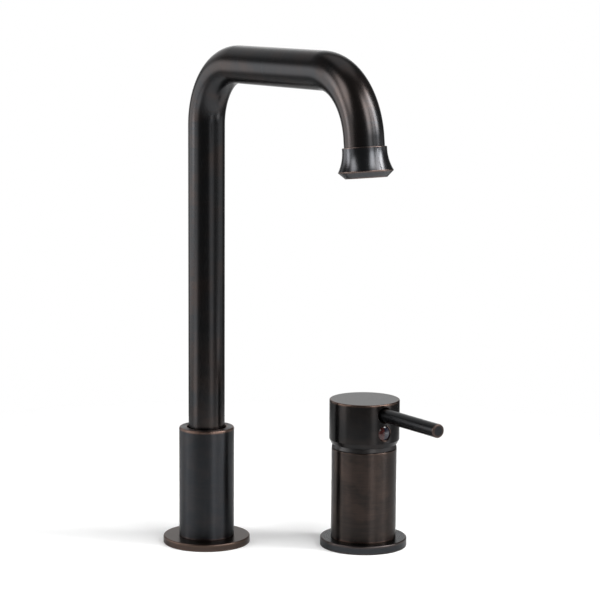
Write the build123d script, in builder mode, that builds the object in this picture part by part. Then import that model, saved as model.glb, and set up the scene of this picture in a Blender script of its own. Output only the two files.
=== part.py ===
from build123d import *
from math import acos, asin, cos, degrees, radians, sin, tan
import os

# Two-hole basin mixer: a swivelling tube spout and a separate single-lever control. Millimetres.
# The origin is on the spout's axis at the worktop's top face, +Z is up, spout and lever point along -Y.

# Worktop that the fixings are set for, and where the control stands on it
worktop_t = 30.0
control_x = 87.5
control_y = -65.0

# Spout tube: a rise, a bend, a level arm, a second bend and a short leg into the nozzle
tube_od = 25.0
tube_wall = 1.5
arm_height = 332.0
rise_bend_r = 42.0
rise_bend_angle = 90.0
arm_length = 98.6
drop_bend_r = 44.0
drop_angle = 83.0
outlet_leg = 5.8

# Nozzle, measured down the outlet from its top edge, and outward from the tube
nozzle_neck_wall = 1.25
nozzle_neck_length = 1.5
nozzle_flare_width = 3.35
nozzle_lip_offset = 14.8
nozzle_bevel_width = 4.3
nozzle_length = 18.8
socket_depth = 6.0
waterway_step = 1.0

# Aerator, screwed up into the nozzle and a little slimmer than the tube
aerator_step = 0.6
aerator_length = 8.4
aerator_wall = 1.6
aerator_lip_t = 1.0
aerator_recess_depth = 0.4
aerator_washer_t = 1.6
aerator_washer_step = 1.0
sieve_t = 4.0
sieve_cell = 2.6
sieve_pitch = 3.6
sieve_rings = 2

# Collar that the spout turns in
collar_od = 38.0
collar_height = 76.5
slide_ring_wall = 1.15
collar_bore_wall_gap = 0.5
collar_rim_chamfer = 1.4
collar_foot_height = 15.0

# Swivel end, brazed into the foot of the tube, with its seal and its stop
swivel_gap_height = 4.0
swivel_length = 20.0
swivel_bore_d = 16.0
swivel_spigot_length = 12.0
spout_turn_angle = 75.0
seal_height = 3.0
seal_depth = 2.0
seal_offset = 6.0
stop_screw_d = 5.0
stop_screw_length = 6.6
stop_offset = 15.0
stop_groove_depth = 2.0
slide_ring_depth = 7.0
slide_ring_height = 6.0

# Flanges on the worktop
flange_od = 60.0
spout_flange_t = 5.0
control_flange_t = 6.0
flange_edge_chamfer = 0.9
flange_seal_od = 52.0
flange_seal_t = 1.5

# Threaded shanks, and what clamps them under the worktop
shank_d = 26.4
shank_depth = 62.0
washer_od = 45.0
rubber_t = 3.0
washer_t = 2.0
nut_across_flats = 36.0
nut_t = 8.0
spout_waterway_d = 12.0
spout_port_d = 15.0
port_ring_d = 13.8
port_count = 3
mixed_port_angle = 90.0
hose_port_d = 9.0
port_depth = 12.0

# Control body and the ceramic cartridge inside it, its widths set inward from the body's outside
body_od = 45.0
body_rim_height = 10.8
body_foot_height = 12.0
body_floor_t = 12.0
body_edge_chamfer = 0.45
control_waterway_d = 6.4
body_wall = 5.2
cartridge_base_t = 6.0
cartridge_height = 22.0
cartridge_wall = 1.8
cartridge_neck_step = 1.8
cartridge_neck_height = 6.5
cartridge_roof_t = 6.0
body_thread_wall = 2.5
cartridge_nut_t = 7.0
fixed_disc_t = 5.0
moving_disc_gap = 2.8
moving_disc_t = 4.6
chamber_wall = 3.1
chamber_offset = 1.9
chamber_depth = 2.4
carrier_step = 0.5
carrier_t = 3.7
carrier_lug_width = 3.0
carrier_lug_depth = 1.2
carrier_lug_inset = 2.9
turret_wall_gap = 2.4
turret_flange_t = 2.2
turret_rim_height = 1.5

# Stem, pivoted in the turret, and its travel
pivot_offset = 3.0
lever_lift_angle = 22.0
stem_width = 7.0
stem_tail_length = 5.0
stem_roof_t = 0.5
stem_neck_width = 3.6
stem_foot_d = 5.0
stem_foot_length = 5.0
stem_arm_length = 12.5
stem_pin_d = 3.0
stem_pin_inset = 0.8

# Dome ring that shows between the body and the cap, set from the body's outside
dome_show_height = 3.4
dome_foot_step = 0.1
dome_crown_width = 2.0
dome_wall = 4.0
dome_spigot_height = 3.5

# Lever cap, its widths set from the body's outside
cap_overhang = 1.75
cap_height = 30.5
cap_bevel_height = 3.0
cap_lip_width = 0.2
cap_mouth_step = 0.3
cap_skirt_height = 5.0
cap_wall = 5.25
cap_cavity_height = 14.3
cap_edge_chamfer = 0.8
cap_boss_d = 17.0
cap_boss_length = 9.5

# Lever, index plug and cap screw, set down from the top of the cap
lever_d = 9.4
lever_drop = 7.5
lever_length = 84.0
lever_seat_depth = 7.0
countersink_d = 11.4
countersink_depth = 1.6
lever_stud_d = 6.0
lever_stud_length = 10.0
lever_edge_chamfer = 0.8
plug_d = 9.6
plug_drop = 12.7
plug_t = 1.8
plug_sunk_depth = 0.4
cap_screw_d = 5.0
cap_screw_length = 4.5

# Clearances: where pieces turn, where they only fit, and where they are fixed
turning_gap = 0.08
loose_gap = 0.2
fixed_gap = 0.05

# Widths that follow from the tube
tube_r = tube_od / 2
tube_bore_r = tube_r - tube_wall
nozzle_neck_r = tube_r + nozzle_neck_wall
nozzle_lip_r = nozzle_neck_r + nozzle_flare_width
nozzle_mouth_r = nozzle_lip_r - nozzle_bevel_width
waterway_r = tube_bore_r - waterway_step
aerator_r = tube_r - aerator_step
collar_mouth_r = tube_r + slide_ring_wall
collar_bore_r = tube_r + collar_bore_wall_gap

# Widths that follow from the body
body_r = body_od / 2
thread_r = body_r - body_thread_wall
dome_foot_r = body_r - dome_foot_step
dome_r = body_r + dome_crown_width
cap_r = body_r + cap_overhang
cap_lip_r = body_r + cap_lip_width
cap_mouth_r = body_r - cap_mouth_step
cap_cavity_r = cap_r - cap_wall
cartridge_r = body_r - body_wall
cavity_r = cartridge_r - cartridge_wall
cartridge_neck_r = cartridge_r - cartridge_neck_step
dome_bore_r = thread_r - dome_wall
turret_r = cartridge_neck_r - turret_wall_gap
moving_disc_r = cavity_r - moving_disc_gap
chamber_r = moving_disc_r - chamber_wall
carrier_r = moving_disc_r - carrier_step
carrier_lug_span = 2 * (moving_disc_r - carrier_lug_inset)
stem_pin_reach = turret_r - stem_pin_inset

# Levels above the worktop that follow from the sizes above
collar_low = spout_flange_t
chamber_floor = collar_low + collar_foot_height
collar_top = collar_low + collar_height
swivel_low = chamber_floor + swivel_gap_height
tube_foot = swivel_low + swivel_length
stop_height = swivel_low + stop_offset
slide_ring_top = collar_top - slide_ring_depth
slide_ring_low = slide_ring_top - slide_ring_height
rubber_low = -worktop_t - rubber_t
washer_low = rubber_low - washer_t
nut_low = washer_low - nut_t
body_low = control_flange_t
body_web = body_low + body_foot_height
cartridge_low = body_web + body_floor_t
disc_low = cartridge_low + cartridge_base_t
cartridge_top = disc_low + cartridge_height
neck_top = cartridge_top + cartridge_neck_height
pivot_height = cartridge_top + pivot_offset
moving_low = disc_low + fixed_disc_t
carrier_low = moving_low + moving_disc_t
roof_low = cartridge_top - cartridge_roof_t
turret_low = roof_low - turning_gap - turret_flange_t
turret_top = neck_top + turret_rim_height
body_top = cartridge_top + body_rim_height
cap_bottom = body_top + dome_show_height
cap_top = cap_bottom + cap_height
cap_ceiling = cap_bottom + cap_cavity_height
lever_height = cap_top - lever_drop
plug_height = lever_height - plug_drop
stem_height = lever_height - lever_d / 2 - stem_roof_t - pivot_height
cap_boss_offset = stem_height - cap_boss_length

# At rest the valve is shut: the stem leans to the front, and its foot has pushed the disc to the back
stem_lean = lever_lift_angle / 2
disc_offset = stem_arm_length * sin(radians(stem_lean))

# The two halves' centres on the worktop with their flanges' thickness, and the moving disc at rest
spout_at = (0, 0)
control_at = (control_x, control_y)
halves = (("spout", spout_at, spout_flange_t), ("control", control_at, control_flange_t))
disc_at = (control_x, control_y + disc_offset)


def level(centre, height):
    """The level plane at a height above a point of the worktop."""
    return Plane(origin=(*centre, height))


def upright(centre):
    """The plane for a turned piece's outline: distance from the axis, then height."""
    return Plane(origin=(*centre, 0), x_dir=(1, 0, 0), z_dir=(0, -1, 0))


def turning_axis(centre):
    """The vertical axis through a point of the worktop."""
    return Axis((*centre, 0), (0, 0, 1))


def facing(distance, height):
    """The upright plane at a distance in front of the control's axis, looking to the front."""
    return Plane(origin=(control_x, control_y - distance, height), x_dir=(1, 0, 0), z_dir=(0, -1, 0))


def turned(centre, *outline):
    """A solid of revolution from its outline of distances and heights."""
    with BuildPart() as form:
        with BuildSketch(upright(centre)):
            with BuildLine():
                Polyline(*outline, close=True)
            make_face()
        revolve(axis=turning_axis(centre))
    return form.part


def ring(centre, low, height, outer_d, inner_d):
    """A plain ring that stands on its low face."""
    with BuildPart() as plain:
        with BuildSketch(level(centre, low)):
            Circle(outer_d / 2)
            Circle(inner_d / 2, mode=Mode.SUBTRACT)
        extrude(amount=height)
    return plain.part


def save(piece, name):
    """Labels a finished piece and writes it to its own file."""
    piece.label = name
    export_step(piece, f"parts/{name}.step")


os.makedirs("parts", exist_ok=True)

# Spout tube: one bent tube, from its foot in the collar to its end inside the nozzle
with BuildPart() as spout_tube:
    with BuildLine(Plane.YZ) as route:
        rise = Line((0, tube_foot), (0, arm_height - rise_bend_r))
        first_bend = JernArc(start=rise @ 1, tangent=rise % 1, radius=rise_bend_r, arc_size=rise_bend_angle)
        arm = PolarLine(start=first_bend @ 1, length=arm_length, direction=first_bend % 1)
        second_bend = JernArc(start=arm @ 1, tangent=arm % 1, radius=drop_bend_r, arc_size=drop_angle)
        leg = PolarLine(start=second_bend @ 1, length=outlet_leg + socket_depth, direction=second_bend % 1)
    with BuildSketch(Plane.XY.offset(tube_foot)):
        Circle(tube_r)
        Circle(tube_bore_r, mode=Mode.SUBTRACT)
    sweep(path=route.line)
save(spout_tube.part, "spout_tube")

# The outlet's own frame: its axis starts at the nozzle's top edge and runs down the outlet
outlet = route.line % 1
seam = route.line @ 1 - outlet * socket_depth
outlet_side = Plane(origin=seam, x_dir=(1, 0, 0), z_dir=Vector(1, 0, 0).cross(outlet))
outlet_axis = Axis(seam, outlet)
aerator_low = nozzle_length - aerator_recess_depth
aerator_top = aerator_low - aerator_length
washer_seat = aerator_top - aerator_washer_t
aerator_hole_r = aerator_r + fixed_gap
housing_bore_r = aerator_r - aerator_wall

# Nozzle: a bell with a straight neck over the tube's end and a bevelled lip
with BuildPart() as spout_nozzle:
    with BuildSketch(outlet_side):
        with BuildLine():
            neck = Line((nozzle_neck_r, 0), (nozzle_neck_r, nozzle_neck_length))
            flare = TangentArc(neck @ 1, (nozzle_lip_r, nozzle_lip_offset), tangent=neck % 1)
            Polyline(
                flare @ 1,
                (nozzle_mouth_r, nozzle_length),
                (aerator_hole_r, nozzle_length),
                (aerator_hole_r, washer_seat),
                (waterway_r, washer_seat),
                (waterway_r, socket_depth),
                (tube_r + fixed_gap, socket_depth),
                (tube_r + fixed_gap, 0),
                neck @ 0,
            )
        make_face()
    revolve(axis=outlet_axis)
save(spout_nozzle.part, "spout_nozzle")

# Aerator washer: the flat seal above the aerator
with BuildPart() as aerator_washer:
    with BuildSketch(Plane(origin=seam + outlet * washer_seat, x_dir=(1, 0, 0), z_dir=outlet)):
        Circle(aerator_r - fixed_gap)
        Circle(waterway_r - aerator_washer_step, mode=Mode.SUBTRACT)
    extrude(amount=aerator_washer_t)
save(aerator_washer.part, "aerator_washer")

# Aerator housing: the threaded ring, with a lip that its insert rests on
with BuildPart() as aerator_housing:
    with BuildSketch(outlet_side):
        with BuildLine():
            Polyline(
                (aerator_r, aerator_top),
                (aerator_r, aerator_low),
                (housing_bore_r - aerator_lip_t, aerator_low),
                (housing_bore_r - aerator_lip_t, aerator_low - aerator_lip_t),
                (housing_bore_r, aerator_low - aerator_lip_t),
                (housing_bore_r, aerator_top),
                close=True,
            )
        make_face()
    revolve(axis=outlet_axis)
save(aerator_housing.part, "aerator_housing")

# Aerator insert: a plate of hexagonal cells that the water leaves through
cells = [
    place
    for place in HexLocations(sieve_pitch / 2, 2 * sieve_rings + 1, 2 * sieve_rings + 1).local_locations
    if place.position.length < sieve_pitch * sieve_rings + loose_gap
]
with BuildPart() as aerator_insert:
    sieve_top = seam + outlet * (aerator_low - aerator_lip_t - sieve_t)
    with BuildSketch(Plane(origin=sieve_top, x_dir=(1, 0, 0), z_dir=outlet)):
        Circle(housing_bore_r - fixed_gap)
        with Locations(*cells):
            RegularPolygon(sieve_cell / 2, 6, mode=Mode.SUBTRACT)
    extrude(amount=sieve_t)
save(aerator_insert.part, "aerator_insert")

# Swivel end: a turned plug with a seal groove and a stop groove, its spigot inside the tube
head_r = collar_bore_r - turning_gap
groove_r = head_r - stop_groove_depth
stop_width = stop_screw_d + 2 * loose_gap
stop_half_angle = spout_turn_angle + degrees(asin(stop_width / 2 / groove_r))
groove_start = Vector(0, 1, 0).rotate(Axis.Z, -stop_half_angle)
with BuildPart() as swivel_end:
    with BuildSketch(upright(spout_at)):
        with BuildLine():
            Polyline(
                (swivel_bore_d / 2, swivel_low),
                (head_r, swivel_low),
                (head_r, swivel_low + seal_offset),
                (head_r - seal_depth, swivel_low + seal_offset),
                (head_r - seal_depth, swivel_low + seal_offset + seal_height),
                (head_r, swivel_low + seal_offset + seal_height),
                (head_r, tube_foot),
                (tube_bore_r - fixed_gap, tube_foot),
                (tube_bore_r - fixed_gap, tube_foot + swivel_spigot_length),
                (swivel_bore_d / 2, tube_foot + swivel_spigot_length),
                close=True,
            )
        make_face()
    revolve(axis=turning_axis(spout_at))
    # The stop groove faces the back of the tap and ends where the spout's travel ends
    with BuildSketch(Plane(origin=(0, 0, 0), x_dir=groove_start, z_dir=groove_start.cross(Vector(0, 0, 1)))):
        with Locations((groove_r + stop_groove_depth, stop_height)):
            Rectangle(2 * stop_groove_depth, stop_width + 2 * loose_gap)
    revolve(axis=turning_axis(spout_at), revolution_arc=2 * stop_half_angle, mode=Mode.SUBTRACT)
save(swivel_end.part, "swivel_end")

# Seal ring in the swivel end's groove
save(
    ring(
        spout_at,
        swivel_low + seal_offset + fixed_gap,
        seal_height - 2 * fixed_gap,
        2 * collar_bore_r - turning_gap,
        2 * (head_r - seal_depth + fixed_gap),
    ),
    "spout_seal",
)

# Slide ring on the collar's ledge, which steadies the tube
save(
    ring(
        spout_at,
        slide_ring_low,
        slide_ring_height,
        2 * (collar_mouth_r - fixed_gap),
        tube_od + 2 * turning_gap,
    ),
    "slide_ring",
)

# Collar: the turned sleeve that stands on the flange and carries the spout
with BuildPart() as spout_collar:
    with BuildSketch(upright(spout_at)):
        with BuildLine():
            Polyline(
                (shank_d / 2 + fixed_gap, collar_low),
                (collar_od / 2, collar_low),
                (collar_od / 2, collar_top - collar_rim_chamfer),
                (collar_od / 2 - collar_rim_chamfer, collar_top),
                (collar_mouth_r, collar_top),
                (collar_mouth_r, slide_ring_low),
                (collar_bore_r, slide_ring_low),
                (collar_bore_r, chamber_floor),
                (shank_d / 2 + fixed_gap, chamber_floor),
                close=True,
            )
        make_face()
    revolve(axis=turning_axis(spout_at))
    with BuildSketch(Plane(origin=(0, 0, stop_height), x_dir=(1, 0, 0), z_dir=(0, 1, 0))):
        Circle(stop_screw_d / 2 + fixed_gap)
    extrude(amount=collar_od / 2, mode=Mode.SUBTRACT)
save(spout_collar.part, "spout_collar")

# Stop screw: through the collar's back into the swivel end's groove
with BuildPart() as swivel_stop_screw:
    with BuildSketch(Plane(origin=(0, groove_r + loose_gap, stop_height), x_dir=(1, 0, 0), z_dir=(0, 1, 0))):
        Circle(stop_screw_d / 2)
    extrude(amount=stop_screw_length)
save(swivel_stop_screw.part, "swivel_stop_screw")

# What stands on the worktop and what clamps under it, alike on both halves
hole_r = shank_d / 2 + loose_gap
for half, centre, thickness in halves:
    # Flange: chamfered above, recessed below for its seal, and loose round the shank
    flange = turned(
        centre,
        (hole_r, flange_seal_t),
        (flange_seal_od / 2, flange_seal_t),
        (flange_seal_od / 2, 0),
        (flange_od / 2, 0),
        (flange_od / 2, thickness - flange_edge_chamfer),
        (flange_od / 2 - flange_edge_chamfer, thickness),
        (hole_r, thickness),
    )
    save(flange, f"{half}_flange")
    save(
        ring(centre, 0, flange_seal_t, flange_seal_od - 2 * fixed_gap, 2 * hole_r),
        f"{half}_flange_seal",
    )
    save(ring(centre, rubber_low, rubber_t, washer_od, 2 * hole_r), f"{half}_rubber_washer")
    save(ring(centre, washer_low, washer_t, washer_od, 2 * hole_r), f"{half}_steel_washer")
    with BuildPart() as lock_nut:
        with BuildSketch(level(centre, nut_low)):
            RegularPolygon(nut_across_flats / 2, 6, major_radius=False)
            Circle(shank_d / 2 + fixed_gap, mode=Mode.SUBTRACT)
        extrude(amount=nut_t)
    save(lock_nut.part, f"{half}_lock_nut")

# Spout shank: a threaded tube with one waterway and a hose port below
spout_shank = turned(
    spout_at,
    (spout_port_d / 2, -shank_depth),
    (shank_d / 2, -shank_depth),
    (shank_d / 2, chamber_floor),
    (spout_waterway_d / 2, chamber_floor),
    (spout_waterway_d / 2, port_depth - shank_depth),
    (spout_port_d / 2, port_depth - shank_depth),
)
save(spout_shank, "spout_shank")

# Control shank: threaded outside, with hot and cold ways in front and the mixed way behind
with BuildPart() as control_shank:
    with BuildSketch(level(control_at, -shank_depth)):
        Circle(shank_d / 2)
    extrude(amount=shank_depth + body_web)
    for way_d, way_length in ((control_waterway_d, shank_depth + body_web), (hose_port_d, port_depth)):
        with BuildSketch(level(control_at, -shank_depth)):
            with PolarLocations(port_ring_d / 2, port_count, start_angle=mixed_port_angle):
                Circle(way_d / 2)
        extrude(amount=way_length, mode=Mode.SUBTRACT)
save(control_shank.part, "control_shank")

# Control body: a turned cup for the cartridge, open at the top
with BuildPart() as control_body:
    with BuildSketch(upright(control_at)):
        with BuildLine():
            Polyline(
                (0, body_web),
                (shank_d / 2 + fixed_gap, body_web),
                (shank_d / 2 + fixed_gap, body_low),
                (body_r, body_low),
                (body_r, body_top - body_edge_chamfer),
                (body_r - body_edge_chamfer, body_top),
                (thread_r + fixed_gap, body_top),
                (thread_r + fixed_gap, cartridge_top),
                (cartridge_r + fixed_gap, cartridge_top),
                (cartridge_r + fixed_gap, cartridge_low),
                (0, cartridge_low),
                close=True,
            )
        make_face()
    revolve(axis=turning_axis(control_at))
    with BuildSketch(level(control_at, body_web)):
        with PolarLocations(port_ring_d / 2, port_count, start_angle=mixed_port_angle):
            Circle(control_waterway_d / 2)
    extrude(amount=body_floor_t, mode=Mode.SUBTRACT)
save(control_body.part, "control_body")


def ported_plate(low, thickness, plate_d):
    """A round plate with the three waterways through it."""
    with BuildPart() as plate:
        with BuildSketch(level(control_at, low)):
            Circle(plate_d / 2)
            with PolarLocations(port_ring_d / 2, port_count, start_angle=mixed_port_angle):
                Circle(control_waterway_d / 2, mode=Mode.SUBTRACT)
        extrude(amount=thickness)
    return plate.part


# The cartridge's base plate, and the fixed ceramic disc above it
save(ported_plate(cartridge_low, cartridge_base_t, 2 * cartridge_r), "cartridge_base")
save(ported_plate(disc_low, fixed_disc_t, 2 * (cavity_r - fixed_gap)), "fixed_disc")

# Moving ceramic disc: its mixing chamber faces down and has a straight front edge that shuts the inlets
with BuildPart() as moving_disc:
    with BuildSketch(level(disc_at, moving_low)):
        Circle(moving_disc_r)
    extrude(amount=moving_disc_t)
    with BuildSketch(level(disc_at, moving_low)):
        Circle(chamber_r)
        with Locations((0, -chamber_offset)):
            Rectangle(2 * chamber_r, 2 * chamber_r, align=(Align.CENTER, Align.MAX), mode=Mode.SUBTRACT)
    extrude(amount=chamber_depth, mode=Mode.SUBTRACT)
    with BuildSketch(level(disc_at, carrier_low)):
        with GridLocations(carrier_lug_span, 0, 2, 1):
            Rectangle(carrier_lug_width + 2 * fixed_gap, carrier_lug_width + 2 * fixed_gap)
    extrude(amount=-carrier_lug_depth - fixed_gap, mode=Mode.SUBTRACT)
save(moving_disc.part, "moving_disc")

# Disc carrier: slides the moving disc, driven by the stem's foot in its slot
with BuildPart() as disc_carrier:
    with BuildSketch(level(disc_at, carrier_low)):
        Circle(carrier_r)
        Rectangle(
            stem_foot_length + 2 * loose_gap,
            stem_foot_d + 2 * turning_gap,
            mode=Mode.SUBTRACT,
        )
    extrude(amount=carrier_t)
    with BuildSketch(level(disc_at, carrier_low)):
        with GridLocations(carrier_lug_span, 0, 2, 1):
            Rectangle(carrier_lug_width, carrier_lug_width)
    extrude(amount=-carrier_lug_depth)
save(disc_carrier.part, "disc_carrier")

# Cartridge housing: the case over the discs, with a neck that the turret turns in
save(
    turned(
        control_at,
        (cavity_r, disc_low),
        (cartridge_r, disc_low),
        (cartridge_r, cartridge_top),
        (cartridge_neck_r, cartridge_top),
        (cartridge_neck_r, neck_top),
        (turret_r + turning_gap, neck_top),
        (turret_r + turning_gap, roof_low),
        (cavity_r, roof_low),
    ),
    "cartridge_housing",
)

# Cartridge nut: the threaded ring that holds the cartridge down by its shoulder
save(
    ring(
        control_at,
        cartridge_top,
        cartridge_nut_t,
        2 * thread_r,
        2 * (cartridge_neck_r + loose_gap),
    ),
    "cartridge_nut",
)

# Turret: turns in the cartridge with the lever, and carries the stem on its pin
across_pin = Plane(origin=(control_x, control_y, pivot_height), x_dir=(0, 1, 0), z_dir=(1, 0, 0))
turret_slot = 2 * (disc_offset + stem_foot_d / 2 + 2 * loose_gap)
with BuildPart() as turret:
    with BuildSketch(level(control_at, turret_low)):
        Circle(cavity_r - loose_gap)
    extrude(amount=turret_flange_t)
    with BuildSketch(level(control_at, turret_low)):
        Circle(turret_r)
    extrude(amount=turret_top - turret_low)
    with BuildSketch(level(control_at, turret_low)):
        Rectangle(stem_width + 2 * loose_gap, turret_slot)
    extrude(amount=turret_top - turret_low, mode=Mode.SUBTRACT)
    with BuildSketch(across_pin):
        Circle(stem_pin_d / 2 + fixed_gap)
    extrude(amount=stem_pin_reach, both=True, mode=Mode.SUBTRACT)
save(turret.part, "turret")

# Stem pin: pressed across the turret
with BuildPart() as stem_pin:
    with BuildSketch(across_pin):
        Circle(stem_pin_d / 2)
    extrude(amount=stem_pin_reach, both=True)
save(stem_pin.part, "stem_pin")

# The stem's own frame: it leans about the pin, and distances run up from the pin
stem_up = Vector(0, -sin(radians(stem_lean)), cos(radians(stem_lean)))


def along_stem(distance):
    """The plane square to the stem at a distance above its pin."""
    pivot = Vector(control_x, control_y, pivot_height)
    return Plane(origin=pivot + stem_up * distance, x_dir=(1, 0, 0), z_dir=stem_up)


# Stem: a square bar above the pin, and a neck and a round foot below it
with BuildPart() as stem:
    with BuildSketch(along_stem(-stem_tail_length)):
        Rectangle(stem_width, stem_width)
    extrude(amount=stem_tail_length + stem_height)
    with BuildSketch(along_stem(-stem_arm_length)):
        Rectangle(stem_foot_length, stem_neck_width)
    extrude(amount=stem_arm_length - stem_tail_length)
    with BuildSketch(Plane(origin=along_stem(-stem_arm_length).origin, x_dir=(0, 1, 0), z_dir=(1, 0, 0))):
        Circle(stem_foot_d / 2)
    extrude(amount=stem_foot_length / 2, both=True)
    with BuildSketch(across_pin):
        Circle(stem_pin_d / 2 + turning_gap)
    extrude(amount=stem_width / 2, both=True, mode=Mode.SUBTRACT)
save(stem.part, "stem")

# Dome ring: its crown is round about the pin, so that the cap clears it through the whole lift
dome_start = degrees(asin((cap_bottom - pivot_height) / dome_r))
dome_end = degrees(acos(dome_bore_r / dome_r))
with BuildPart() as dome_ring:
    with BuildSketch(upright(control_at)):
        with BuildLine():
            crown = CenterArc((0, pivot_height), dome_r, dome_start, dome_end - dome_start)
            Polyline(
                crown @ 1,
                (dome_bore_r, body_top - dome_spigot_height),
                (thread_r, body_top - dome_spigot_height),
                (thread_r, body_top),
                (dome_foot_r - body_edge_chamfer, body_top),
                (dome_foot_r, body_top + body_edge_chamfer),
                crown @ 0,
            )
        make_face()
    revolve(axis=turning_axis(control_at))
save(dome_ring.part, "dome_ring")

# Lever cap: bevelled below, hollow over the dome, with a boss that sits on the stem
plug_face = cap_r - plug_sunk_depth
lever_axis = Axis((control_x, control_y, lever_height), (0, -1, 0))
lever_side = Plane(origin=(control_x, control_y, lever_height), x_dir=(0, -1, 0), z_dir=(-1, 0, 0))
lever_seat = cap_r - lever_seat_depth
stud_end = lever_seat - lever_stud_length
stem_face = (plug_height + cap_screw_d / 2 - pivot_height) * tan(radians(stem_lean))
screw_tip = stem_face + stem_width / 2 / cos(radians(stem_lean)) + fixed_gap
with BuildPart() as lever_cap:
    with BuildSketch(upright(control_at)):
        with BuildLine():
            Polyline(
                (0, cap_top),
                (cap_r - cap_edge_chamfer, cap_top),
                (cap_r, cap_top - cap_edge_chamfer),
                (cap_r, cap_bottom + cap_bevel_height),
                (cap_lip_r, cap_bottom),
                (cap_mouth_r, cap_bottom),
                (cap_mouth_r, cap_bottom + cap_skirt_height),
                (cap_cavity_r, cap_bottom + cap_skirt_height),
                (cap_cavity_r, cap_ceiling),
                (0, cap_ceiling),
                close=True,
            )
        make_face()
    revolve(axis=turning_axis(control_at))
    with BuildSketch(along_stem(cap_boss_offset)):
        Circle(cap_boss_d / 2)
    extrude(amount=stem_height - cap_boss_offset)
    with BuildSketch(along_stem(cap_boss_offset)):
        Rectangle(stem_width + 2 * fixed_gap, stem_width + 2 * fixed_gap)
    extrude(amount=stem_height + fixed_gap - cap_boss_offset, mode=Mode.SUBTRACT)
    # The lever's hole, countersunk where it meets the round wall
    with BuildSketch(lever_side):
        with BuildLine():
            Polyline(
                (stud_end - fixed_gap, 0),
                (stud_end - fixed_gap, lever_stud_d / 2 + fixed_gap),
                (lever_seat, lever_stud_d / 2 + fixed_gap),
                (lever_seat, lever_d / 2 + fixed_gap),
                (cap_r - countersink_depth, lever_d / 2 + fixed_gap),
                (cap_r, countersink_d / 2),
                (cap_r, 0),
                close=True,
            )
        make_face()
    revolve(axis=lever_axis, mode=Mode.SUBTRACT)
    # The index plug's seat, and the screw's way to the stem
    with BuildSketch(facing(plug_face - plug_t, plug_height)):
        Circle(plug_d / 2 + fixed_gap)
    extrude(amount=cap_r, mode=Mode.SUBTRACT)
    with BuildSketch(facing(screw_tip, plug_height)):
        Circle(cap_screw_d / 2 + fixed_gap)
    extrude(amount=cap_r, mode=Mode.SUBTRACT)
save(lever_cap.part, "lever_cap")

# Lever: a round bar that screws into the cap's front
with BuildPart() as lever_rod:
    with BuildSketch(lever_side):
        with BuildLine():
            Polyline(
                (stud_end, 0),
                (stud_end, lever_stud_d / 2),
                (lever_seat, lever_stud_d / 2),
                (lever_seat, lever_d / 2),
                (lever_length - lever_edge_chamfer, lever_d / 2),
                (lever_length, lever_d / 2 - lever_edge_chamfer),
                (lever_length, 0),
                close=True,
            )
        make_face()
    revolve(axis=lever_axis)
save(lever_rod.part, "lever_rod")

# Cap screw: a grub screw that holds the cap on the stem, reached through the plug's hole
with BuildPart() as cap_screw:
    with BuildSketch(facing(screw_tip, plug_height)):
        Circle(cap_screw_d / 2)
    extrude(amount=cap_screw_length)
save(cap_screw.part, "cap_screw")

# Index plug: its face follows the cap's round wall, a little sunk
with BuildPart() as index_plug:
    with BuildSketch(facing(plug_face - plug_t, plug_height)):
        Circle(plug_d / 2)
    extrude(amount=plug_t)
    with BuildSketch(level(control_at, plug_height - plug_d)):
        Circle(plug_face)
    extrude(amount=2 * plug_d, mode=Mode.INTERSECT)
save(index_plug.part, "index_plug")
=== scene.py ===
import math

import bmesh
import bpy
from mathutils import Matrix, Vector


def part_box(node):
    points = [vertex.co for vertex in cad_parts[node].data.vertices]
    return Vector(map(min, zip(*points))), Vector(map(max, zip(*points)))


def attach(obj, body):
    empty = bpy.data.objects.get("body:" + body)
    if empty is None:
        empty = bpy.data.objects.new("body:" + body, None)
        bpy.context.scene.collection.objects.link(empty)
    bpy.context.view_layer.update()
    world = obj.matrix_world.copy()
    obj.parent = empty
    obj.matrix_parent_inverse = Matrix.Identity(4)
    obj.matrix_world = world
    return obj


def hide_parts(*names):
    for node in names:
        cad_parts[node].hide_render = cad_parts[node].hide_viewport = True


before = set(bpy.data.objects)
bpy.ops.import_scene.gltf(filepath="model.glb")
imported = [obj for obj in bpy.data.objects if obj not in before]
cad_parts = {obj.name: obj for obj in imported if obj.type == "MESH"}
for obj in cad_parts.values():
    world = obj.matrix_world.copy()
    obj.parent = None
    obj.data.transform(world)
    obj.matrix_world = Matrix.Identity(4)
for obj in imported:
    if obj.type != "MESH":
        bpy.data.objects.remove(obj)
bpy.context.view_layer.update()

MM = 0.001


def size_of(node):
    """A node's lowest corner, highest corner and middle at rest."""
    low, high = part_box(node)
    return low, high, (low + high) / 2


# Sizes read from the frame
tube_low, tube_high, _ = size_of("spout_tube")
collar_low, collar_high, _ = size_of("spout_collar")
_, flange_high, _ = size_of("spout_flange")
body_low, body_high, body_middle = size_of("control_body")
dome_low, _, _ = size_of("dome_ring")
cap_low, cap_high, _ = size_of("lever_cap")
lever_low, lever_high, lever_middle = size_of("lever_rod")
plug_low, plug_high, plug_middle = size_of("index_plug")
screw_low, screw_high, screw_middle = size_of("swivel_stop_screw")
_, _, pin_middle = size_of("stem_pin")

tube_r = tube_high.x
collar_r = collar_high.x
flange_r = flange_high.x
body_r = (body_high.x - body_low.x) / 2
cap_r = (cap_high.x - cap_low.x) / 2
lever_r = (lever_high.x - lever_low.x) / 2
plug_r = (plug_high.x - plug_low.x) / 2
screw_r = (screw_high.x - screw_low.x) / 2
control_x = body_middle.x
control_y = body_middle.y
lever_height = lever_middle.z
lever_end = control_y - lever_low.y
plug_height = plug_middle.z
plug_depth = plug_high.y - plug_low.y
pivot_height = pin_middle.z

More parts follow.
